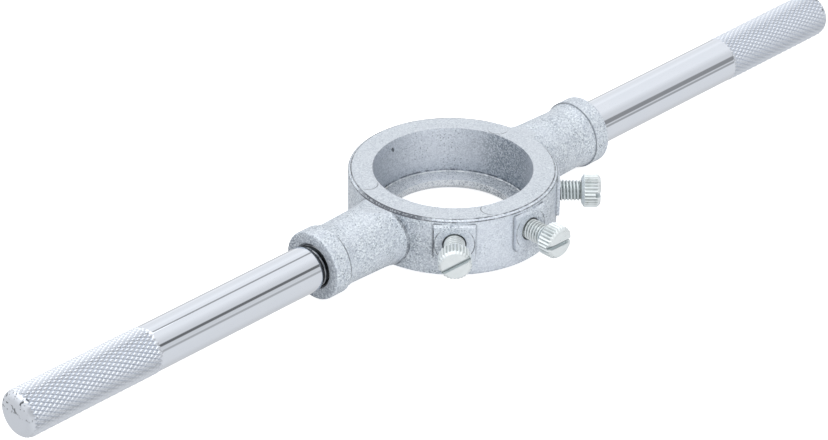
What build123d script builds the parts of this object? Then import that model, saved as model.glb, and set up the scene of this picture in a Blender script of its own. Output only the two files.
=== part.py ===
from build123d import *

import os
from math import cos, radians, sin

# A two-handed stock for round threading dies, in millimetres.
# The origin is where the die pocket's axis (Z) crosses the handles' common axis (X).
# +Z points out of the pocket's mouth, and the three screws are on the -Y side.

# Die pocket: the die drops in from above, onto a narrow ledge round the work hole
bore_d = 38.0
pocket_depth = 11.9
work_hole_d = 29.3
work_hole_land = 1.45

# Ring
ring_wall = 5.85
rim_height = 7.6
floor_thickness = 2.9
rim_bevel_width = 0.7
rim_bevel_height = 0.5
ring_foot_round = 0.5

# Arms that carry the handles, cast in one with the ring
arm_length = 21.45
collar_d = 16.8
collar_length = 4.3
collar_slope = 3.3
collar_step = 0.3
collar_round = 0.5
neck_tip_d = 15.2
neck_root_d = 15.8
flare_length = 3.2
flare_rise = 1.3
arm_land_length = 0.8
arm_land_ramp = 4.5

# Handles: turned rods with a threaded stem, knurled over the grip
rod_length = 87.6
rod_d = 11.1
knurl_d = 11.4
knurl_length = 37.5
grip_end_round = 2.2
shoulder_gap = 1.1
shoulder_taper_length = 1.0
shoulder_taper_depth = 0.35
stem_d = 10.0
stem_length = 15.0
stem_chamfer = 0.8
stem_clearance = 0.05
socket_floor_gap = 0.3
socket_mouth_d = 11.3

# Screws: the outer two clamp the die and the middle one spreads its slit
screw_spacing = 45.0
screw_height = 1.5
screw_d = 5.0
screw_clearance = 0.05
screw_reach = 4.8
screw_tip_d = 1.5
clamp_point_length = 1.75
spreader_point_length = 2.6
head_d = 8.0
head_length = 4.6
head_gap = 0.35
head_base_d = 6.0
head_base_length = 0.75
head_chamfer = 0.8
slot_width = 1.1
slot_depth = 1.3
head_teeth = 28
tooth_depth = 0.33
point_setback = 0.05

# Flat seats for the screw heads, raised from the ring's wall
seat_width = 9.8
seat_rise = 0.45
seat_top = 6.4
seat_bottom = -3.4
seat_bevel = 0.5
seat_corner_round = 1.8
screw_hole_chamfer = 0.3

# Worked out from the sizes above
bore_r = bore_d / 2
ring_r = bore_r + ring_wall
ring_bottom = rim_height - pocket_depth - floor_thickness
arm_root_x = bore_r + ring_wall / 2
arm_end_x = ring_r + arm_length
neck_tip_x = arm_end_x - collar_length - collar_slope
shoulder_x = arm_end_x + shoulder_gap
stem_reach = shoulder_gap + stem_length
screw_angles = {
    "clamp_screw_left": -90 - screw_spacing,
    "spreader_screw": -90,
    "clamp_screw_right": -90 + screw_spacing,
}
slot_turns = {"clamp_screw_left": 31, "spreader_screw": -2, "clamp_screw_right": -11}
screw_length = ring_wall + seat_rise + head_gap + screw_reach
head_x = bore_r + point_setback + screw_length


def radial_plane(angle, distance):
    """A plane square to the screw axis at that angle, with x round the ring and y up."""
    outward = Vector(cos(radians(angle)), sin(radians(angle)), 0)
    around = Vector(-sin(radians(angle)), cos(radians(angle)), 0)
    return Plane(outward * distance + Vector(0, 0, screw_height), around, outward)


def arm(side, land_height):
    """An arm turned about X, then cut to land_height and to the ring's foot where they meet."""
    flare_x = ring_r + flare_length
    land_x = ring_r + arm_land_length
    ramp_x = land_x + arm_land_ramp
    with BuildPart() as blank:
        with BuildSketch(Plane.XZ):
            with BuildLine():
                flare_end = (side * flare_x, neck_root_d / 2)
                flare_start = (side * arm_root_x, neck_root_d / 2 + flare_rise)
                TangentArc(flare_end, flare_start, tangent=(-side, 0))
                Polyline(
                    flare_end,
                    (side * neck_tip_x, neck_tip_d / 2),
                    (side * (arm_end_x - collar_length), collar_d / 2 - collar_step),
                    (side * (arm_end_x - collar_length), collar_d / 2),
                    (side * arm_end_x, collar_d / 2),
                    (side * arm_end_x, 0),
                    (side * arm_root_x, 0),
                    flare_start,
                )
            make_face()
        revolve(axis=Axis.X)
        end_face = blank.faces().sort_by(Axis.X)[-1 if side > 0 else 0]
        fillet(end_face.edges(), collar_round)
        with BuildSketch(Plane.XZ):
            for up, height in [(1, land_height), (-1, ring_bottom)]:
                with BuildLine():
                    Polyline(
                        (0, height),
                        (side * land_x, height),
                        (side * ramp_x, up * neck_root_d / 2),
                        (side * ramp_x, up * collar_d),
                        (0, up * collar_d),
                        close=True,
                    )
                make_face()
        extrude(amount=collar_d, both=True, mode=Mode.SUBTRACT)
    return blank.part


def screw(point_length, slot_turn):
    """A screw on +Z: its head stands on the XY plane and its point hangs below."""
    screw_r = screw_d / 2
    head_r = head_d / 2
    with BuildPart() as turned:
        with BuildSketch(Plane.XZ):
            with BuildLine():
                Polyline(
                    (0, -screw_length),
                    (screw_tip_d / 2, -screw_length),
                    (screw_r, -screw_length + point_length),
                    (screw_r, 0),
                    (head_base_d / 2, 0),
                    (head_r, head_base_length),
                    (head_r, head_length - head_chamfer),
                    (head_r - head_chamfer, head_length),
                    (0, head_length),
                    close=True,
                )
            make_face()
        revolve(axis=Axis.Z)
        with BuildSketch(Plane.XY.offset(head_length)):
            Rectangle(head_d, slot_width, rotation=slot_turn)
        extrude(amount=-slot_depth, mode=Mode.SUBTRACT)
        with BuildSketch():
            with PolarLocations(head_r, head_teeth):
                Rectangle(tooth_depth * 2**0.5, tooth_depth * 2**0.5, rotation=45)
        extrude(amount=head_length, mode=Mode.SUBTRACT)
    return turned.part


# A screw head's seat: a pad whose flat face is the XY plane, bevelled along its top
with BuildPart() as screw_seat:
    with BuildSketch() as seat_outline:
        with Locations((0, seat_bottom - screw_height)):
            Rectangle(seat_width, seat_top - seat_bottom, align=(Align.CENTER, Align.MIN))
        fillet(seat_outline.vertices().group_by(Axis.Y)[0], seat_corner_round)
    extrude(amount=-ring_wall / 2)
    top_front_edge = screw_seat.faces().sort_by(Axis.Y)[-1].edges().sort_by(Axis.Z)[-1]
    chamfer(top_front_edge, seat_bevel)

# Ring, arms, seats and all their holes: one zinc casting
with BuildPart() as stock_body:
    with BuildSketch(Plane.XZ):
        with BuildLine():
            Polyline(
                (0, ring_bottom),
                (ring_r, ring_bottom),
                (ring_r, rim_height - rim_bevel_height),
                (ring_r - rim_bevel_width, rim_height),
                (0, rim_height),
                close=True,
            )
        make_face()
    revolve(axis=Axis.Z)
    fillet(stock_body.edges().filter_by(GeomType.CIRCLE).group_by(Axis.Z)[0], ring_foot_round)

    add(arm(-1, rim_height - rim_bevel_height))
    add(arm(1, rim_height))

    seat_planes = [radial_plane(angle, ring_r + seat_rise) for angle in screw_angles.values()]
    with Locations(*seat_planes):
        add(screw_seat.part)

    with Locations((0, 0, rim_height)):
        CounterBoreHole(work_hole_d / 2, bore_r, pocket_depth)
    work_hole_edges = stock_body.edges(Select.LAST).filter_by(GeomType.CIRCLE).sort_by(Axis.Z)
    chamfer(work_hole_edges[0], floor_thickness - work_hole_land)

    with Locations(*seat_planes):
        CounterSinkHole(
            screw_d / 2 + screw_clearance,
            screw_d / 2 + screw_clearance + screw_hole_chamfer,
            depth=ring_wall + seat_rise + seat_rise,
            counter_sink_angle=90,
        )

    socket_mouths = [Plane((side * arm_end_x, 0, 0), (0, side, 0), (side, 0, 0)) for side in (-1, 1)]
    with Locations(*socket_mouths):
        CounterSinkHole(
            stem_d / 2 + stem_clearance,
            socket_mouth_d / 2,
            depth=stem_length + socket_floor_gap,
            counter_sink_angle=90,
        )
stock_body.part.label = "stock_body"

# Handles: one turned rod, used at both ends
with BuildPart() as handle_right:
    with BuildSketch(Plane.XZ):
        with BuildLine():
            grip_start_x = shoulder_x + rod_length - knurl_length
            Polyline(
                (shoulder_x - stem_reach, 0),
                (shoulder_x - stem_reach, stem_d / 2 - stem_chamfer),
                (shoulder_x - stem_reach + stem_chamfer, stem_d / 2),
                (shoulder_x, stem_d / 2),
                (shoulder_x, rod_d / 2 - shoulder_taper_depth),
                (shoulder_x + shoulder_taper_length, rod_d / 2),
                (grip_start_x, rod_d / 2),
                (grip_start_x + knurl_d - rod_d, knurl_d / 2),
                (shoulder_x + rod_length, knurl_d / 2),
                (shoulder_x + rod_length, 0),
                close=True,
            )
        make_face()
    revolve(axis=Axis.X)
    fillet(handle_right.faces().sort_by(Axis.X)[-1].edges(), grip_end_round)
handle_right.part.label = "handle_right"

with BuildPart() as handle_left:
    add(handle_right.part, rotation=(0, 0, 180))
handle_left.part.label = "handle_left"

# Screws, backed off until their points stand clear of the pocket
screws = []
for name, angle in screw_angles.items():
    point_length = spreader_point_length if name == "spreader_screw" else clamp_point_length
    with BuildPart() as placed_screw:
        with Locations(radial_plane(angle, head_x)):
            add(screw(point_length, slot_turns[name]))
    placed_screw.part.label = name
    screws.append(placed_screw.part)

os.makedirs("parts", exist_ok=True)
for piece in [stock_body.part, handle_left.part, handle_right.part, *screws]:
    export_step(piece, f"parts/{piece.label}.step")
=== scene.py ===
import math

import bpy
import numpy as np
from mathutils import Matrix, Vector


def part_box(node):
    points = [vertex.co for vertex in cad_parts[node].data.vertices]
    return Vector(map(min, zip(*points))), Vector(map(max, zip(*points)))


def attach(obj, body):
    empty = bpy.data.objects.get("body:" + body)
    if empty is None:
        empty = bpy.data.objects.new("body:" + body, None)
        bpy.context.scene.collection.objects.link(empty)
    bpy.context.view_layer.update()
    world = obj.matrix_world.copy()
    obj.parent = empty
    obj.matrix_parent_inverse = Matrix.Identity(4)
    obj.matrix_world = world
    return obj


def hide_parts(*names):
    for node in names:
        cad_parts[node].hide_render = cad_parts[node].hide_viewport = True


# The looks of the die stock handle. Sizes are in millimetres, and MM turns them into metres.
# The casting keeps its CAD mesh. The handles and screws are made anew, with their knurls and threads.
MM = 0.001
TURN = 2 * math.pi

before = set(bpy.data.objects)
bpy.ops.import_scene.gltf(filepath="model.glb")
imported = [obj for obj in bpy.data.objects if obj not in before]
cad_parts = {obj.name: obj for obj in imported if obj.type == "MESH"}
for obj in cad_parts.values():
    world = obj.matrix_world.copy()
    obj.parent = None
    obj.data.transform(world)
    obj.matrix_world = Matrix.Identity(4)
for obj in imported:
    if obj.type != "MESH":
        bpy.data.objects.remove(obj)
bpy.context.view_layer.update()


# Meshes

# Rings of a mesh along one pitch of its thread
THREAD_RINGS = 12


def new_object(name, points, faces, sharp_angle):
    """A mesh object from points in millimetres, smooth apart from edges sharper than the angle."""
    mesh = bpy.data.meshes.new(name)
    mesh.from_pydata([tuple(p) for p in np.asarray(points) * MM], [], [tuple(f) for f in faces])
    mesh.validate()
    mesh.shade_smooth()
    mesh.set_sharp_from_angle(angle=math.radians(sharp_angle))
    piece = bpy.data.objects.new(name, mesh)
    bpy.context.scene.collection.objects.link(piece)
    return piece


class TurnedForm:
    """A closed turned body about +Z, made ring by ring from its lower end."""

    def __init__(self, columns):
        self.columns = columns
        self.round = np.arange(columns) / columns
        self.stations = []
        self.radii = []

    def ring(self, at, radius):
        self.stations.append(at)
        self.radii.append(np.broadcast_to(radius, self.columns).astype(float))

    def mesh(self, cut_quad=None):
        """Points and faces. cut_quad(row, column) gives 0 or 1 for the way a quad is cut in two."""
        angles = self.round * TURN
        radii = np.array(self.radii)
        z = np.repeat(np.array(self.stations)[:, None], self.columns, axis=1)
        points = np.stack([radii * np.cos(angles), radii * np.sin(angles), z], axis=-1).reshape(-1, 3)
        low_centre, high_centre = len(points), len(points) + 1
        points = np.vstack([points, [0, 0, self.stations[0]], [0, 0, self.stations[-1]]])
        last_row = len(self.stations) - 1
        faces = []
        for row in range(last_row):
            for column in range(self.columns):
                after = (column + 1) % self.columns
                a, b = row * self.columns + column, row * self.columns + after
                c, d = a + self.columns, b + self.columns
                cut = cut_quad(row, column) if cut_quad else None
                if cut is None:
                    faces.append((a, b, d, c))
                elif cut == 0:
                    faces += [(a, b, d), (a, d, c)]
                else:
                    faces += [(a, b, c), (b, d, c)]
        top = last_row * self.columns
        for column in range(self.columns):
            after = (column + 1) % self.columns
            faces.append((low_centre, after, column))
            faces.append((high_centre, top + column, top + after))
        return points, faces


def placed(piece, origin, x_axis, z_axis):
    """Moves a piece made on the world axes to its own place, as mesh coordinates."""
    x_axis, z_axis = Vector(x_axis), Vector(z_axis)
    y_axis = z_axis.cross(x_axis)
    turn = Matrix((x_axis, y_axis, z_axis)).transposed().to_4x4()
    piece.data.transform(Matrix.Translation(Vector(origin) * MM) @ turn)


def ridge(t):
    """0 in a V groove's bottom at whole numbers of t, 1 half-way between them."""
    return 1 - np.abs(2 * (t - np.floor(t)) - 1)


def thread_height(t, steepness):
    """A thread's height from 0 to 1: a ridge made steeper, and cut flat at its crest."""
    return np.clip(ridge(t) * steepness, 0, 1)


# Handles: threaded stem, plain rod and diamond-knurled grip

HANDLE_START, HANDLE_END = [corner.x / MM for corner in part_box("handle_right")]
KNURL_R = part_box("handle_right")[1].z / MM
STEM_R = 5.0
STEM_CHAMFER = 0.8
STEM_PITCH = 1.5
STEM_GROOVE = 0.8
STEM_CREST = 1.25
SHOULDER = 47.4
SHOULDER_EDGE = 0.1
TAPER_END = 48.4
TAPER_DEPTH = 0.35
ROD_R = 5.55
ROD_RINGS = 24
GRIP_START = 97.5
KNURL_DEPTH = 0.4
KNURL_STARTS = 31
# The knurl repeats after this length along the grip, with two rows of diamonds in it
KNURL_PITCH = 2.0
# Mesh steps in half a diamond, along the grip and round it
KNURL_STEPS = 3
KNURL_FADE = 0.7
# Share of a diamond's slope that is grooved, below its flat crest
KNURL_SLOPE = 0.8
END_ROUND = 2.2
END_FACE_R = KNURL_R - END_ROUND


def handle(name, side):
    """One handle: turned about +Z from the stem's end to the domed end, then laid along X."""
    form = TurnedForm(KNURL_STARTS * 2 * KNURL_STEPS)
    for at in np.arange(HANDLE_START, SHOULDER - 0.05, STEM_PITCH / THREAD_RINGS):
        thread = thread_height((at - HANDLE_START) / STEM_PITCH - form.round, STEM_CREST)
        chamfer = min(0.0, at - HANDLE_START - STEM_CHAMFER)
        form.ring(at, np.minimum(STEM_R - STEM_GROOVE * (1 - thread), STEM_R + chamfer))

    # Rings a tenth apart or less keep an edge crisp
    form.ring(SHOULDER - 0.02, STEM_R - STEM_GROOVE)
    form.ring(SHOULDER, ROD_R - TAPER_DEPTH - SHOULDER_EDGE)
    form.ring(SHOULDER + SHOULDER_EDGE, ROD_R - TAPER_DEPTH)
    form.ring(TAPER_END - 0.03, ROD_R - 0.01)
    form.ring(TAPER_END, ROD_R)
    for at in np.linspace(TAPER_END + 0.04, GRIP_START - 0.8, ROD_RINGS):
        form.ring(at, ROD_R)

    # The knurl rises out of the rod and runs out into the domed end
    step = KNURL_PITCH / 2 / KNURL_STEPS
    knurl_row = len(form.stations)
    dome_start = HANDLE_END - END_ROUND
    for at in np.arange(GRIP_START - 2 * step, HANDLE_END - 0.04, step):
        along = (at - GRIP_START + 2 * step) / KNURL_PITCH
        around = form.round * KNURL_STARTS
        point = np.minimum(ridge(around + along), ridge(around - along))
        rise = np.clip((at - GRIP_START + step) / KNURL_FADE, 0, 1)
        groove = KNURL_DEPTH * rise * (1 - np.minimum(point / KNURL_SLOPE, 1))
        radius = ROD_R + (KNURL_R - ROD_R) * rise - groove
        if at > dome_start:
            radius = np.minimum(radius, END_FACE_R + math.sqrt(END_ROUND**2 - (at - dome_start) ** 2))
        form.ring(at, radius)
    knurl_end = len(form.stations)
    for share in [0.995, 0.9995]:
        form.ring(dome_start + END_ROUND * share, END_FACE_R + END_ROUND * math.sqrt(1 - share**2))
    form.ring(HANDLE_END, END_FACE_R)
    form.ring(HANDLE_END, END_FACE_R / 2)

    def along_grooves(row, column):
        if knurl_row <= row < knurl_end:
            return ((row - knurl_row) // KNURL_STEPS + column // KNURL_STEPS) % 2
        return None

    piece = new_object(name, *form.mesh(along_grooves), sharp_angle=40)
    placed(piece, (0, 0, 0), (0, 0, 1), (side, 0, 0))
    return piece


# Screws: knurled slotted head, threaded shank and point

SCREW_R = 2.5
SCREW_LENGTH = 11.45
SCREW_PITCH = 0.8
SCREW_GROOVE = 0.45
SCREW_CREST = 1.2
SCREW_Z = 1.5
UNDERCUT = 0.25
TIP_R = 0.75
TIP_BEVEL_WIDTH = 0.3
TIP_BEVEL_HEIGHT = 0.12
HEAD_R = 4.0
HEAD_BASE_R = 3.0
HEAD_BASE_LENGTH = 0.75
HEAD_LENGTH = 4.6
HEAD_CHAMFER = 0.8
# Half the width over which the head's edges are blunted
HEAD_EDGE = 0.06
SLOT_WIDTH = 1.1
SLOT_DEPTH = 1.3
TEETH = 28
TOOTH_DEPTH = 0.33
TOOTH_COLUMNS = 6
# Each groove between the teeth is a V with a flat bottom, filled up by this share of a tooth's depth
TOOTH_FLOOR = 0.15
SCREW_SHARP_ANGLE = 35
# Distances from the ring's axis to each head's underside and to the end of each point
HEAD_X = 30.5
POINT_END = HEAD_X - SCREW_LENGTH
LEFT_ANGLE = -135
MIDDLE_ANGLE = -90
RIGHT_ANGLE = -45
SCREW_ANGLES = (LEFT_ANGLE, MIDDLE_ANGLE, RIGHT_ANGLE)
# Name, body, the node that it replaces, angle round Z, length of the point and turn of the slot
SCREWS = [
    ("left_clamp_screw", "left_clamp", "clamp_screw_left", LEFT_ANGLE, 1.75, 31),
    ("middle_screw", "spreader", "spreader_screw", MIDDLE_ANGLE, 2.6, -2),
    ("right_clamp_screw", "right_clamp", "clamp_screw_right", RIGHT_ANGLE, 1.75, -11),
]


def towards(degrees):
    """The level direction at an angle round Z."""
    return (math.cos(math.radians(degrees)), math.sin(math.radians(degrees)), 0)


def cut_slot(piece, slot_turn):
    """Cuts the screwdriver's slot into the head of a screw that stands on +Z."""
    bpy.ops.mesh.primitive_cube_add(size=MM)
    cutter = bpy.context.object
    cutter.data.transform(
        Matrix.Rotation(math.radians(slot_turn), 4, "Z")
        @ Matrix.Translation((0, 0, HEAD_LENGTH * MM))
        @ Matrix.Diagonal((3 * HEAD_R, SLOT_WIDTH, 2 * SLOT_DEPTH, 1))
    )
    cut = piece.modifiers.new("slot", "BOOLEAN")
    cut.operation = "DIFFERENCE"
    cut.solver = "EXACT"
    cut.object = cutter
    with bpy.context.temp_override(object=piece, active_object=piece):
        bpy.ops.object.modifier_apply(modifier="slot")
    bpy.data.objects.remove(cutter)
    piece.data.shade_smooth()
    piece.data.set_sharp_from_angle(angle=math.radians(SCREW_SHARP_ANGLE))


def screw(name, angle, point_length, slot_turn):
    """One screw: turned on +Z with its head above the XY plane, then turned to its angle."""
    form = TurnedForm(TEETH * TOOTH_COLUMNS)
    cone_start = TIP_BEVEL_HEIGHT - SCREW_LENGTH
    cone_slope = (SCREW_R - TIP_R) / (point_length - TIP_BEVEL_HEIGHT)
    form.ring(-SCREW_LENGTH, TIP_R - TIP_BEVEL_WIDTH)
    form.ring(cone_start, TIP_R)
    for at in np.arange(cone_start + 0.08, -UNDERCUT - 0.05, SCREW_PITCH / THREAD_RINGS):
        cone = TIP_R + (at - cone_start) * cone_slope
        thread = thread_height(at / SCREW_PITCH - form.round, SCREW_CREST)
        form.ring(at, np.minimum(cone, SCREW_R - SCREW_GROOVE * (1 - thread)))
    form.ring(-UNDERCUT, SCREW_R - SCREW_GROOVE)
    form.ring(-0.001, SCREW_R - SCREW_GROOVE)

    # The head's rings, each with its height and its largest radius.
    # Those at 1.6 and 2.6 only divide the long faces below the slot.
    flat_r = HEAD_R - HEAD_CHAMFER
    chamfer_start = HEAD_LENGTH - HEAD_CHAMFER
    outline = [
        (0.0, HEAD_BASE_R - 0.05),
        (0.04, HEAD_BASE_R),
        (HEAD_BASE_LENGTH - HEAD_EDGE, HEAD_R - HEAD_EDGE),
        (HEAD_BASE_LENGTH + HEAD_EDGE, HEAD_R),
        (1.6, HEAD_R),
        (2.6, HEAD_R),
        (chamfer_start - 0.1, HEAD_R),
        (chamfer_start + HEAD_EDGE, HEAD_R - 0.07),
        (HEAD_LENGTH - 0.12, flat_r + 0.1),
        (HEAD_LENGTH - 0.03, flat_r),
        (HEAD_LENGTH, flat_r - 0.14),
    ]
    tooth = np.clip((1 + TOOTH_FLOOR) * ridge(form.round * TEETH + 0.5) - TOOTH_FLOOR, 0, 1)
    toothed = HEAD_R - TOOTH_DEPTH * (1 - tooth)
    for at, limit in outline:
        form.ring(at, np.minimum(toothed, limit))
    piece = new_object(name, *form.mesh(), sharp_angle=SCREW_SHARP_ANGLE)
    cut_slot(piece, slot_turn)

    outward = Vector(towards(angle))
    around = (-outward.y, outward.x, 0)
    placed(piece, outward * HEAD_X + Vector((0, 0, SCREW_Z)), around, outward)
    return piece


# Material helpers

def material(name):
    m = bpy.data.materials.new(name)
    m.use_nodes = True
    return m, m.node_tree, m.node_tree.nodes["Principled BSDF"]


def node(tree, kind, inputs=None, **settings):
    n = tree.nodes.new(kind)
    for key, value in settings.items():
        setattr(n, key, value)
    for key, value in (inputs or {}).items():
        if isinstance(value, bpy.types.NodeSocket):
            tree.links.new(value, n.inputs[key])
        else:
            n.inputs[key].default_value = value
    return n


def calc(tree, operation, a, b=0.0):
    return node(tree, "ShaderNodeMath", {0: a, 1: b}, operation=operation).outputs[0]


def vector(tree, operation, a, b=(0, 0, 0), output=0):
    return node(tree, "ShaderNodeVectorMath", {0: a, 1: b}, operation=operation).outputs[output]


def remap(tree, value, from_min, from_max, to_min, to_max):
    """The value carried from one range to another, and held at its ends."""
    inputs = {
        "Value": value,
        "From Min": from_min,
        "From Max": from_max,
        "To Min": to_min,
        "To Max": to_max,
    }
    return node(tree, "ShaderNodeMapRange", inputs).outputs[0]


def band(tree, value, centre, half, soft):
    """1 where the value is within half of the centre, fading to 0 over the soft width."""
    off = calc(tree, "ABSOLUTE", calc(tree, "SUBTRACT", value, centre))
    return remap(tree, off, half, half + soft, 1, 0)


def both(tree, *masks):
    """1 where all the masks are 1."""
    product = masks[0]
    for mask in masks[1:]:
        product = calc(tree, "MULTIPLY", product, mask)
    return product


def either(tree, *masks):
    """The strongest of the masks."""
    strongest = masks[0]
    for mask in masks[1:]:
        strongest = calc(tree, "MAXIMUM", strongest, mask)
    return strongest


def blend(tree, factor, a, b):
    """Colour a where the factor is 0, and b where it is 1."""
    # A Mix node has sockets for each kind of data, and these are the ones for colour
    n = node(tree, "ShaderNodeMix", data_type="RGBA")
    for socket, value in [(n.inputs[0], factor), (n.inputs[6], a), (n.inputs[7], b)]:
        if isinstance(value, bpy.types.NodeSocket):
            tree.links.new(value, socket)
        else:
            socket.default_value = value
    return n.outputs[2]


def split(tree, value):
    """The three parts of a vector or colour."""
    return node(tree, "ShaderNodeSeparateXYZ", {0: value}).outputs


def object_place(tree):
    """The point on the object and its x, y and z, all in millimetres."""
    place = vector(tree, "MULTIPLY", node(tree, "ShaderNodeTexCoord").outputs["Object"], (1 / MM,) * 3)
    return place, *split(tree, place)


def noise(tree, place, scale, detail=2):
    inputs = {"Vector": place, "Scale": scale, "Detail": detail}
    return node(tree, "ShaderNodeTexNoise", inputs).outputs[0]


def openness(tree, distance):
    """1 in the open, less where other surfaces stand close by."""
    inputs = {"Distance": distance * MM}
    return node(tree, "ShaderNodeAmbientOcclusion", inputs, samples=8).outputs["AO"]


def screw_frame(tree, place, z, angle):
    """How far a point lies outward and sideways of a screw's hole, and off the screw's axis."""
    outward = vector(tree, "DOT_PRODUCT", place, towards(angle), output="Value")
    sideways = vector(tree, "DOT_PRODUCT", place, towards(angle + 90), output="Value")
    above = calc(tree, "SUBTRACT", z, SCREW_Z)
    off_axis = node(tree, "ShaderNodeCombineXYZ", {0: sideways, 1: above}).outputs[0]
    return outward, sideways, vector(tree, "LENGTH", off_axis, output="Value")


# Casting

BORE_R = 19.0
WORK_HOLE_R = 14.65
WALL_R = 24.85
# Beyond this radius a point counts as the ring's outer wall
ON_WALL_R = 24.0
RIM_Z = 7.6
LEDGE_Z = -4.3
BEVEL_R = 24.15
BEVEL_DROP = 0.5
ARM_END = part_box("stock_body")[1].x / MM
COLLAR_LENGTH = 4.3
FLARE_START = 21.9
FLARE_END = 28.05
FLARE_RISE = 1.3
NECK_R = 7.9
# The screws' seats, each spot-faced round the screw's hole
SEAT_R = 25.3
SEAT_HALF = 4.9
SPOT_FACE_R = 4.7
# Marks of the die's ejector pins on the top face: x, y, radius and the side that shows best
EJECTOR_MARKS = [(-20.1, 8.5, 2.5, -92), (-7.7, -19.8, 2.45, 165), (21.1, 5.35, 2.5, -141)]
# Painted shade on the pocket's wall, gritty with the grain: angle round Z, cosine of the reach, and
# depth on dark and on light grains
POCKET_SHADES = [(-20, 0.0, 0.7, 0.5), (-3, 0.88, 0.95, 0.0), (130, 0.2, 0.75, 0.55)]
# Blow holes in the pocket: x, y, z and radius
BLOW_HOLES = [(-1.2, 19.0, 5.3, 0.5), (-0.9, 19.0, 4.8, 0.45), (-3.5, 18.5, -4.0, 0.6)]
# The smooth patch of wall: angle round Z, cosines where it starts and is whole, and its strength
SMOOTH_WALL = (-110, 0.92, 0.97, 0.5)
# The side of the rim where dirt and painted shade cover the bevel, and the side by the right arm where
# its edges get no dark lines
DARK_RIM = -174
UNLINED_RIM = 0

DARK_GRAIN = (0.32, 0.37, 0.45, 1)
LIGHT_GRAIN = (0.90, 0.96, 1.0, 1)
SMOOTH_GRAIN = (0.66, 0.71, 0.79, 1)
GROUND_FACE = (0.58, 0.62, 0.67, 1)
# Painted light that makes the pocket's wall lighter
POCKET_LIGHT = (0.88, 0.92, 1.0, 1)
CORNER_SHADE = (0.25, 0.29, 0.34, 1)
# Grit, and painted shade by the arm's root and in the pocket
GRIT_AND_SHADE = (0.20, 0.24, 0.29, 1)
END_FACE_SHADE = (0.20, 0.23, 0.28, 1)
PIT = (0.15, 0.18, 0.22, 1)
DIRT_AND_SHADE = (0.09, 0.10, 0.12, 1)
# Machined metal, with painted light and painted highlights on the ledge
MACHINED_LIGHT = (0.95, 0.98, 1.0, 1)


class CastingSpot:
    """Where a point lies on the casting, with the grain and the noises that vary its marks."""

    def __init__(self, tree):
        self.tree = tree
        self.place, self.x, self.y, self.z = object_place(tree)
        flat = vector(tree, "MULTIPLY", self.place, (1, 1, 0))
        self.radial = vector(tree, "LENGTH", flat, output="Value")
        self.heading = vector(tree, "NORMALIZE", flat)
        self.in_pocket = remap(tree, self.radial, BORE_R + 0.05, BORE_R + 0.15, 1, 0)
        # The necks of the arms reach the rim's height too, so the top face ends at their roots
        at_rim = band(tree, self.z, RIM_Z, 0.04, 0.03)
        self.on_top = both(tree, at_rim, remap(tree, self.radial, 26, 29, 1, 0))
        self.worn = noise(tree, self.place, 0.9)
        self.patches = noise(tree, self.place, 0.26, 3)
        self.coarse = remap(tree, self.patches, 0.42, 0.58, 0.25, 0.8)

        # Half a fine noise, and half small cells of one tone each
        fine = remap(tree, noise(tree, self.place, 2.8), 0.36, 0.64, 0, 0.5)
        cells = node(tree, "ShaderNodeTexVoronoi", {"Vector": self.place, "Scale": 3.0})
        tone = split(tree, cells.outputs["Color"])[0]
        self.grain = calc(tree, "ADD", fine, calc(tree, "MULTIPLY", tone, 0.5))

    def facing(self, degrees):
        """The cosine of the angle round Z between the point and a direction."""
        return vector(self.tree, "DOT_PRODUCT", self.heading, towards(degrees), output="Value")

    def ring_line(self, radius, height, width):
        """A line round the Z axis, where the distance from the axis and the height both match."""
        across = band(self.tree, self.radial, radius, width, 0.06)
        return both(self.tree, across, band(self.tree, self.z, height, width, 0.06))


def off_arms(spot):
    """How far a point lies outside the arms' flared roots, in millimetres."""
    tree = spot.tree
    across = node(tree, "ShaderNodeCombineXYZ", {1: spot.y, 2: spot.z}).outputs[0]
    rise = remap(tree, calc(tree, "ABSOLUTE", spot.x), FLARE_END, FLARE_START, 0, 1)
    flare = calc(tree, "MULTIPLY", calc(tree, "POWER", rise, 2.0), FLARE_RISE)
    arm_r = calc(tree, "ADD", flare, NECK_R)
    return calc(tree, "SUBTRACT", vector(tree, "LENGTH", across, output="Value"), arm_r)


def arm_root(spot):
    """Masks at the left arm's root: grit with painted shade on the ring's wall, painted shade in the
    crease and painted shade below.
    """
    tree = spot.tree
    off_arm = off_arms(spot)
    left_front = both(tree, remap(tree, spot.x, -1, 0, 1, 0), remap(tree, spot.y, -5, -4, 1, 0))
    near_arm = remap(tree, off_arm, 0, 6, 1, 0)
    grit_and_shade = both(tree, near_arm, band(tree, spot.radial, WALL_R, 0.3, 0.3), left_front)
    # Painted shade in the crease where the arm meets the ring's wall
    at_arm = band(tree, off_arm, 0.06, 0.02, 0.12)
    crease = both(tree, at_arm, band(tree, spot.radial, WALL_R, 0.4, 0.2), left_front,
                  remap(tree, spot.worn, 0.4, 0.55, 0.2, 0.9))
    # Painted shade below the left arm
    low = remap(tree, spot.z, 1, -6, 0, 0.6)
    below = both(tree, low, remap(tree, spot.radial, 26, 40, 1, 0.6), left_front)
    return grit_and_shade, crease, below


def casting_pits(spot, grit_and_shade):
    """Small pits, most of them in the coarse patches and in the grit, and few on the top face."""
    tree = spot.tree
    cell = node(tree, "ShaderNodeTexVoronoi", {"Vector": spot.place, "Scale": 1.7})
    chance = calc(tree, "ADD", split(tree, cell.outputs["Color"])[1], calc(tree, "MULTIPLY", grit_and_shade, 0.6))
    return both(tree, remap(tree, cell.outputs["Distance"], 0.18, 0.36, 1, 0),
                remap(tree, chance, 0.45, 0.6, 0, 1), remap(tree, spot.on_top, 0, 1, 1, 0.35),
                either(tree, spot.coarse, grit_and_shade))


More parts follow.
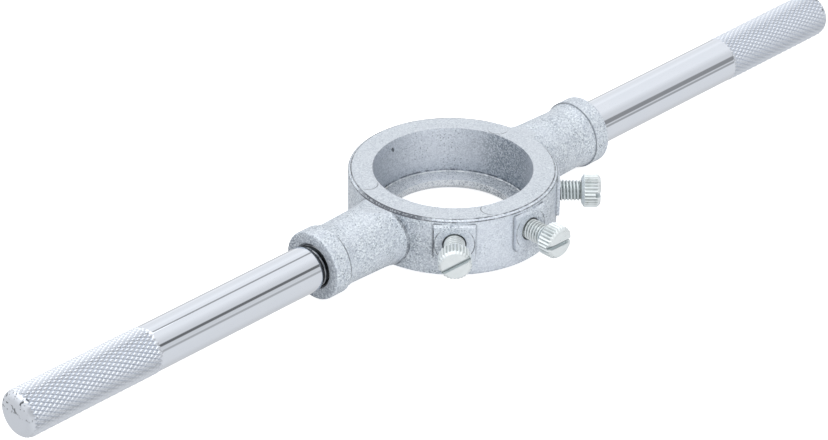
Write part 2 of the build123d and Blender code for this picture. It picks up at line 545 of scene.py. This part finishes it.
def ejector_grooves(spot):
    """A fine groove along the part of each ejector mark that shows."""
    tree = spot.tree
    grooves = 0.0
    for x, y, radius, side in EJECTOR_MARKS:
        offset = vector(tree, "SUBTRACT", spot.place, (x, y, RIM_Z))
        away = vector(tree, "LENGTH", offset, output="Value")
        heading = vector(tree, "NORMALIZE", offset)
        shown = vector(tree, "DOT_PRODUCT", heading, towards(side), output="Value")
        arc = both(tree, band(tree, away, radius, 0.04, 0.1), remap(tree, shown, 0.3, 0.7, 0.1, 1))
        grooves = either(tree, grooves, arc)
    return grooves


def pocket_foot_shade(spot):
    """Painted shade low on the pocket's wall, fainter on the ledge itself."""
    tree = spot.tree
    low = remap(tree, spot.z, LEDGE_Z + 2, LEDGE_Z + 0.2, 0, 1)
    off_ledge = remap(tree, spot.z, LEDGE_Z + 0.1, LEDGE_Z, 1, 0.3)
    return both(tree, low, spot.in_pocket, remap(tree, spot.grain, 0.15, 0.6, 0.5, 0), off_ledge)


def arm_face_shade(spot):
    """Painted shade on the arms' end faces, gritty with the grain, heavier low down and towards the
    back.
    """
    tree = spot.tree
    on_face = remap(tree, calc(tree, "ABSOLUTE", spot.x), ARM_END - 0.12, ARM_END - 0.04, 0, 1)
    low_back = remap(tree, calc(tree, "SUBTRACT", spot.z, spot.y), -6, 8, 0.95, 0.2)
    return both(tree, on_face, low_back, remap(tree, spot.grain, 0.2, 0.8, 1, 0.2))


def rim_dirt_and_shade(spot, patchy):
    """Dirt and painted shade along both edges of the rim's bevel, and over the bevel itself on the
    left.
    """
    tree = spot.tree
    dark_side = remap(tree, spot.facing(DARK_RIM), 0.87, 0.95, 0, 1)
    off_unlined_side = remap(tree, spot.facing(UNLINED_RIM), 0.91, 0.95, 1, 0)
    darkening = both(tree, band(tree, spot.radial, (BEVEL_R + WALL_R) / 2, 0.4, 0.1),
                band(tree, spot.z, RIM_Z - BEVEL_DROP / 2, 0.35, 0.1), dark_side,
                remap(tree, spot.grain, 0.3, 0.75, 1, 0.6))
    for radius, height in [(BEVEL_R, RIM_Z), (WALL_R, RIM_Z - BEVEL_DROP)]:
        line = spot.ring_line(radius, height, 0.12)
        darkening = either(tree, darkening, both(tree, line, either(tree, patchy, dark_side), off_unlined_side))
    return darkening


def collar_step_shade(spot, patchy):
    """Painted shade behind the step of each collar, fainter on the right and on top of the left one."""
    tree = spot.tree
    step = ARM_END - COLLAR_LENGTH
    left = both(tree, band(tree, spot.x, 0.36 - step, 0.16, 0.1), remap(tree, spot.z, 6.8, 7.6, 1, 0.1))
    right = calc(tree, "MULTIPLY", band(tree, spot.x, step - 0.1, 0.08, 0.1), 0.6)
    return both(tree, either(tree, left, right), patchy)


def seat_lines(spot, patchy):
    """Dark lines at both sides of each spot face, and down the outer side of the left screw's seat."""
    tree = spot.tree
    darkening = 0.0
    for angle in SCREW_ANGLES:
        outward, sideways, off_axis = screw_frame(tree, spot.place, spot.z, angle)
        circle = band(tree, off_axis, SPOT_FACE_R, 0.06, 0.1)
        on_seat = band(tree, outward, SEAT_R, 0.1, 0.1)
        at_side = remap(tree, calc(tree, "ABSOLUTE", sideways), 3, 4, 0, 1)
        darkening = either(tree, darkening, both(tree, circle, on_seat, at_side, patchy))
    outward, sideways, _ = screw_frame(tree, spot.place, spot.z, LEFT_ANGLE)
    side = both(tree, band(tree, sideways, -SEAT_HALF, 0.08, 0.08),
                remap(tree, outward, ON_WALL_R, ON_WALL_R + 0.3, 0, 1),
                band(tree, spot.z, 1.7, 3.3, 0.8), remap(tree, spot.worn, 0.35, 0.55, 0.45, 1))
    return either(tree, darkening, side)


def blow_holes(spot):
    """Dark round holes in the pocket."""
    tree = spot.tree
    holes = 0.0
    for x, y, z, radius in BLOW_HOLES:
        away = vector(tree, "DISTANCE", spot.place, (x, y, z), output="Value")
        holes = either(tree, holes, remap(tree, away, radius * 0.7, radius, 0.95, 0))
    return holes


def lit_machined_ledge(spot, colour):
    """Brightens the machined ledge at the bottom of the pocket with painted light, most of all along
    its two edges, where it paints highlights.
    """
    tree = spot.tree
    ledge = both(tree, remap(tree, spot.z, LEDGE_Z + 0.1, LEDGE_Z + 0.05, 0, 1), spot.in_pocket,
                 remap(tree, spot.grain, 0.1, 0.6, 0, 0.5))
    outer = spot.ring_line(BORE_R, LEDGE_Z, 0.18)
    inner = calc(tree, "MULTIPLY", spot.ring_line(WORK_HOLE_R, LEDGE_Z, 0.13), 0.6)
    edges = both(tree, either(tree, outer, inner), remap(tree, spot.worn, 0.4, 0.55, 1, 0.35))
    return blend(tree, edges, blend(tree, ledge, colour, MACHINED_LIGHT), MACHINED_LIGHT)


def zinc():
    """Bare die-cast zinc: a fine light and dark grain with pits, smoother on the ground top face."""
    m, tree, shader = material("cast_zinc")
    spot = CastingSpot(tree)
    grit_and_shade, crease, below = arm_root(spot)
    pits = casting_pits(spot, grit_and_shade)
    grooves = ejector_grooves(spot)

    # The grain, even where the metal is smooth. Painted light makes the pocket lighter, and painted
    # shade darkens the left arm's root and the foot of the pocket's wall.
    colour = blend(tree, spot.grain, DARK_GRAIN, LIGHT_GRAIN)
    # Grit with painted shade on the wall by the left arm's root, and painted shade below the arm
    gritty_shade = both(tree, either(tree, grit_and_shade, below), remap(tree, spot.grain, 0.1, 0.8, 0.95, 0.25))
    colour = blend(tree, gritty_shade, colour, GRIT_AND_SHADE)
    colour = blend(tree, remap(tree, spot.coarse, 0, 1, 0.45, 0), colour, SMOOTH_GRAIN)
    colour = blend(tree, calc(tree, "MULTIPLY", spot.on_top, 0.5), colour, GROUND_FACE)
    # Painted light in the pocket
    colour = blend(tree, calc(tree, "MULTIPLY", spot.in_pocket, 0.5), colour, POCKET_LIGHT)
    # Painted shade at the foot of the pocket's wall
    colour = blend(tree, pocket_foot_shade(spot), colour, GRIT_AND_SHADE)
    colour = blend(tree, pits, colour, PIT)
    middle, start, whole, strength = SMOOTH_WALL
    smooth_wall = both(tree, remap(tree, spot.facing(middle), start, whole, 0, strength),
                       remap(tree, spot.radial, ON_WALL_R, ON_WALL_R + 0.5, 0, 1))
    colour = blend(tree, smooth_wall, colour, SMOOTH_GRAIN)

    # Painted shade in wide corners, on the pocket's wall and on the arms' end faces
    colour = blend(tree, remap(tree, openness(tree, 5.0), 0.4, 0.9, 0.3, 0), colour, CORNER_SHADE)
    # Painted shade where the pocket's wall faces away from the light
    for side, reach, on_dark, on_light in POCKET_SHADES:
        pocket_shade = both(tree, remap(tree, spot.facing(side), reach, 1, 0, 1), spot.in_pocket,
                     remap(tree, spot.grain, 0.3, 0.7, on_dark, on_light))
        colour = blend(tree, pocket_shade, colour, GRIT_AND_SHADE)
    colour = blend(tree, arm_face_shade(spot), colour, END_FACE_SHADE)

    # Painted shade in narrow corners, in the crease and behind the collars' steps, dirt with painted
    # shade along the rim's bevel, and dark lines and marks
    patchy = remap(tree, spot.worn, 0.35, 0.6, 0.35, 0.9)
    # Painted shade in narrow corners, fainter in the pocket
    corners = both(tree, remap(tree, openness(tree, 0.8), 0.45, 0.9, 0.85, 0),
                   remap(tree, spot.in_pocket, 0, 1, 1, 0.25))
    pocket_corner = both(tree, spot.ring_line(BORE_R, LEDGE_Z + 0.5, 0.15),
                         remap(tree, spot.worn, 0.35, 0.6, 0, 0.8))
    darkening = either(tree, corners, pocket_corner, crease, calc(tree, "MULTIPLY", grooves, 0.85),
                  rim_dirt_and_shade(spot, patchy), collar_step_shade(spot, patchy), seat_lines(spot, patchy),
                  blow_holes(spot))
    colour = lit_machined_ledge(spot, blend(tree, darkening, colour, DIRT_AND_SHADE))

    tree.links.new(colour, shader.inputs["Base Color"])
    shader.inputs["Metallic"].default_value = 0.45
    tree.links.new(remap(tree, spot.patches, 0.3, 0.7, 0.42, 0.58), shader.inputs["Roughness"])
    height = calc(tree, "SUBTRACT", spot.grain, calc(tree, "ADD", pits, grooves))
    edge = node(tree, "ShaderNodeBevel", {"Radius": 0.18 * MM}, samples=4).outputs["Normal"]
    bump_inputs = {"Strength": 0.4, "Distance": 0.1 * MM, "Height": height, "Normal": edge}
    tree.links.new(node(tree, "ShaderNodeBump", bump_inputs).outputs[0], shader.inputs["Normal"])
    return m


# Chrome of the handles

CHROME_TONES = ((0.83, 0.88, 0.96, 1), (0.87, 0.91, 0.98, 1))
GRIP_GRIME_AND_SHADE = (0.30, 0.33, 0.38, 1)
FLECK_REFLECTION = (0.05, 0.06, 0.07, 1)
STEM_ROOT_SHADE = (0.03, 0.035, 0.04, 1)
STEM_STEEL = (0.40, 0.42, 0.45, 1)
# What the left and the right grip add to the chrome's roughness
GRIP_ROUGHNESS = (0.28, 0.38)


def chrome():
    """Bright chrome with a faint haze, duller on the grips with grime and painted shade in the knurl,
    and dark steel on the stem and taper with painted shade in the thread's roots.
    """
    m, tree, shader = material("handle_chrome")
    place, x, _, z = object_place(tree)
    along = calc(tree, "ABSOLUTE", x)
    radial = vector(tree, "LENGTH", vector(tree, "MULTIPLY", place, (0, 1, 1)), output="Value")
    haze = noise(tree, place, 0.16, 3)
    knurled = remap(tree, along, GRIP_START - 0.3, GRIP_START, 0, 1)
    bare = remap(tree, along, TAPER_END - 0.04, TAPER_END, 1, 0)
    # Dark steel, with painted shade in the thread's roots
    steel_and_shade = blend(tree, remap(tree, radial, STEM_R - 0.2, STEM_R - 0.05, 0, 1), STEM_ROOT_SHADE, STEM_STEEL)
    colour = blend(tree, haze, *CHROME_TONES)
    # Grime and painted shade in the knurl's grooves
    grime_and_shade = both(tree, remap(tree, openness(tree, 0.5), 0.4, 0.95, 0.15, 0), knurled)
    colour = blend(tree, grime_and_shade, colour, GRIP_GRIME_AND_SHADE)

    # Random dark flecks on the upper side of the domed ends: painted dark reflections and small marks
    on_dome = remap(tree, along, HANDLE_END - END_ROUND + 0.2, HANDLE_END - END_ROUND + 0.6, 0, 1)
    flecks = both(tree, remap(tree, noise(tree, place, 1.1, 3), 0.58, 0.63, 0, 0.9),
                  remap(tree, z, 0, 1.5, 0, 1), on_dome)
    colour = blend(tree, flecks, colour, FLECK_REFLECTION)
    tree.links.new(blend(tree, bare, colour, steel_and_shade), shader.inputs["Base Color"])

    rough = remap(tree, haze, 0.3, 0.7, 0.03, 0.07)
    rough = calc(tree, "ADD", rough, both(tree, knurled, remap(tree, x, 0, 1, *GRIP_ROUGHNESS)))
    rough = calc(tree, "ADD", rough, calc(tree, "MULTIPLY", bare, 0.25))
    tree.links.new(rough, shader.inputs["Roughness"])
    shader.inputs["Metallic"].default_value = 1
    return m


# Plating of the screws

PLATE_TONES = ((0.76, 0.82, 0.84, 1), (0.92, 0.97, 0.99, 1))
PLATE_SHADE = (0.10, 0.13, 0.13, 1)
TOOTH_SHADE = (0.16, 0.20, 0.20, 1)
POINT_LIGHT = (0.97, 1, 1, 1)
# Each point gets painted light, whiter and less metallic, over the first length from its end, fading
# out by the second
POINT_LIGHT_REACH = (1.5, 2.0)


def plating():
    """Bright zinc plate, a little green: painted shade in the slot, in narrow corners and between the
    teeth, and painted light that whitens the point.
    """
    m, tree, shader = material("screw_plating")
    place, _, _, z = object_place(tree)
    haze = noise(tree, place, 0.7, 4)
    colour = blend(tree, haze, *PLATE_TONES)
    # Painted shade in the slot, between the teeth and in narrow corners
    colour = blend(tree, remap(tree, openness(tree, 0.7), 0.35, 0.85, 0.9, 0), colour, PLATE_SHADE)
    full, faded = POINT_LIGHT_REACH
    between_teeth = 0.0
    points = 0.0
    for angle in SCREW_ANGLES:
        outward, _, off_axis = screw_frame(tree, place, z, angle)
        toothed = band(tree, outward, HEAD_X + HEAD_LENGTH / 2, HEAD_LENGTH / 2 - HEAD_CHAMFER, 0.05)
        groove = band(tree, off_axis, HEAD_R - TOOTH_DEPTH, 0.02, TOOTH_DEPTH * 0.8)
        between_teeth = either(tree, between_teeth, both(tree, toothed, groove))
        point = both(tree, remap(tree, outward, POINT_END + faded, POINT_END + full, 0, 1),
                     remap(tree, off_axis, SCREW_R + 0.2, SCREW_R + 0.1, 0, 1))
        points = either(tree, points, point)
    tooth_shade = both(tree, between_teeth, remap(tree, haze, 0.3, 0.7, 0.6, 0.25))
    colour = blend(tree, tooth_shade, colour, TOOTH_SHADE)
    # Painted light on the points
    colour = blend(tree, points, colour, POINT_LIGHT)
    tree.links.new(colour, shader.inputs["Base Color"])
    tree.links.new(remap(tree, haze, 0.3, 0.7, 0.26, 0.42), shader.inputs["Roughness"])
    tree.links.new(remap(tree, points, 0, 1, 0.75, 0.1), shader.inputs["Metallic"])
    return m


# The pieces on the model

cast_zinc = zinc()
handle_chrome = chrome()
screw_plating = plating()

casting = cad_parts["stock_body"]
casting.data.materials.clear()
casting.data.materials.append(cast_zinc)

for name, node_name, side in [("rod_left", "handle_left", -1), ("rod_right", "handle_right", 1)]:
    rod = handle(name, side)
    rod.data.materials.append(handle_chrome)
    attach(rod, "stock")
    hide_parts(node_name)

for name, body, node_name, angle, point_length, slot_turn in SCREWS:
    piece = screw(name, angle, point_length, slot_turn)
    piece.data.materials.append(screw_plating)
    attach(piece, body)
    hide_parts(node_name)


# Camera, at the photograph's angle

CAMERA_AZIMUTH = -45.816
CAMERA_ELEVATION = 30.628
CAMERA_ROLL = 0.754
# Right of the frame's origin, above it and back from it, as the camera sees it
CAMERA_PLACE = (-9.05, -6.048, 858.024)
CAMERA_LENS = 157.08


def photo_camera():
    azimuth, elevation, roll = map(math.radians, (CAMERA_AZIMUTH, CAMERA_ELEVATION, CAMERA_ROLL))
    right = Vector((math.cos(azimuth), math.sin(azimuth), 0))
    back = Vector((right.y * math.cos(elevation), -right.x * math.cos(elevation), math.sin(elevation)))
    up = back.cross(right)
    x_axis = right * math.cos(roll) + up * math.sin(roll)
    y_axis = up * math.cos(roll) - right * math.sin(roll)
    data = bpy.data.cameras.new("camera")
    data.lens = CAMERA_LENS
    camera = bpy.data.objects.new("camera", data)
    bpy.context.scene.collection.objects.link(camera)
    place = Matrix((right, up, back)).transposed() @ Vector(CAMERA_PLACE)
    axes = Matrix((x_axis, y_axis, back)).transposed().to_4x4()
    camera.matrix_world = Matrix.Translation(place * MM) @ axes
    bpy.context.scene.camera = camera


# Lights: a big soft light above, a fill from the front and a light tent that the metal mirrors

# Place and size in metres, and power in watts
KEY_LIGHT = ((-0.25, 0.35, 1.15), 1.7, 6.0)
FILL_LIGHT = ((-0.4, -0.85, 0.25), 0.8, 8.0)
CHROME_REFLECTANCE = 0.89
# The tent by the angle round the handles' axis, in degrees up from the front, with its tone.
# Narrow dark gaps cross it: the middle of each, half its width and its tone.
TENT = [
    (-180, 204), (-94, 198), (-60, 211), (-12, 214), (15, 202), (46, 208),
    (74, 231), (115, 229), (128, 238), (145, 228), (160, 226), (180, 240),
]
LEFT_GAPS = [(0, 3.0, 168), (28, 4.5, 105), (103, 2.0, 150)]
RIGHT_GAPS = [(-5, 3.5, 158), (17, 9.0, 138)]
GAP_EDGE = 3.5
# The x of a direction where the left handle's part of the tent ends and the right one's starts
TENT_CHANGE = (0.60, 0.64)


def area_light(name, place, size, power):
    """A square light at a place in metres, turned towards the object."""
    data = bpy.data.lights.new(name, "AREA")
    data.shape = "SQUARE"
    data.size = size
    data.energy = power
    light = bpy.data.objects.new(name, data)
    bpy.context.scene.collection.objects.link(light)
    place = Vector(place)
    light.matrix_world = Matrix.Translation(place) @ place.to_track_quat("Z", "Y").to_matrix().to_4x4()
    return light


def light_for(tone):
    """A colour of the tent that chrome shows as a grey tone of 0 to 255 on the display."""
    light = ((tone / 255 + 0.055) / 1.055) ** 2.4 / CHROME_REFLECTANCE
    return (light, light, light, 1)


def tent_colour(tree, around, side):
    """side is 0 in the part of the tent that the left handle mirrors, and 1 on the right."""
    ramp = node(tree, "ShaderNodeValToRGB", {"Fac": remap(tree, around, -180, 180, 0, 1)})
    stops = ramp.color_ramp.elements
    while len(stops) < len(TENT):
        stops.new(0.5)
    for stop, (angle, tone) in zip(stops, TENT):
        stop.position = (angle + 180) / 360
        stop.color = light_for(tone)
    colour = ramp.outputs["Color"]
    for gaps, share in [(LEFT_GAPS, calc(tree, "SUBTRACT", 1.0, side)), (RIGHT_GAPS, side)]:
        for middle, half, tone in gaps:
            gap = both(tree, band(tree, around, middle, half, GAP_EDGE), share)
            colour = blend(tree, gap, colour, light_for(tone))
    return colour


def studio_world():
    world = bpy.data.worlds.new("studio")
    bpy.context.scene.world = world
    world.use_nodes = True
    tree = world.node_tree
    x, y, z = split(tree, node(tree, "ShaderNodeTexCoord").outputs["Generated"])
    around = calc(tree, "DEGREES", calc(tree, "ARCTAN2", z, calc(tree, "MULTIPLY", y, -1.0)))
    colour = tent_colour(tree, around, remap(tree, x, *TENT_CHANGE, 0, 1))
    tree.links.new(colour, tree.nodes["Background"].inputs["Color"])


FLOOR_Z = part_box("stock_body")[0].z / MM
FLOOR_HALF = 3000
FLOOR_TONE = (0.85, 0.85, 0.85, 1)
FLOOR_GLOW = 0.65


def studio_floor():
    """A pale sheet with a glow of its own, which neither lights the object nor shows in the metal."""
    corners = [(-1, -1), (1, -1), (1, 1), (-1, 1)]
    points = [(x * FLOOR_HALF, y * FLOOR_HALF, FLOOR_Z) for x, y in corners]
    floor = new_object("floor", points, [(0, 1, 2, 3)], sharp_angle=30)
    paper, _, shader = material("floor")
    shader.inputs["Base Color"].default_value = FLOOR_TONE
    shader.inputs["Roughness"].default_value = 0.9
    shader.inputs["Emission Color"].default_value = (1, 1, 1, 1)
    shader.inputs["Emission Strength"].default_value = FLOOR_GLOW
    floor.data.materials.append(paper)
    floor.visible_glossy = False
    floor.visible_diffuse = False


photo_camera()
area_light("key", *KEY_LIGHT)
fill = area_light("fill", *FILL_LIGHT)
fill.visible_glossy = False
studio_world()
studio_floor()
bpy.context.scene.view_settings.view_transform = "Standard"
